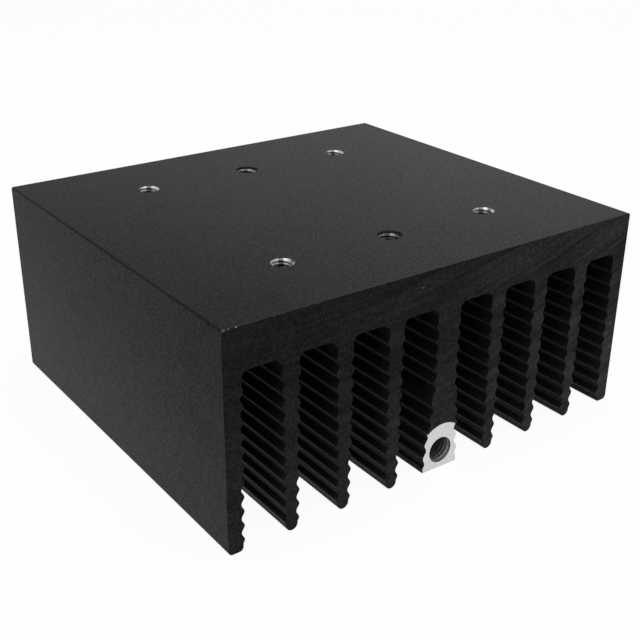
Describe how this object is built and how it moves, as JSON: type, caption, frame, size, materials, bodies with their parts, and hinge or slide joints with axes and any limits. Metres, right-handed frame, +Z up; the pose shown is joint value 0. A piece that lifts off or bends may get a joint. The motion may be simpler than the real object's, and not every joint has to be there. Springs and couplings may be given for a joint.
{
  "type": "heat sink",
  "caption": "Black anodised extruded heat sink with ridged fins under a flat base, tapped holes in its mounting face and a tapped earth point in its flared centre leg.",
  "frame": {"origin": "middle of the footprint, level with the fin tips and the foot of the centre leg", "axes": "+Z up through the fins to the mounting face, +X across the fins, -Y out of the end with the earth screw hole"},
  "size_m": [0.09, 0.081, 0.04],
  "materials": {
    "black_anodised": "satin black anodised, over a fine extruded grain",
    "bare_aluminium": "bare machined aluminium, in the tapped holes and on the spot face"
  },
  "bodies": {
    "root": {"heat_sink": "black_anodised"}
  },
  "joints": []
}
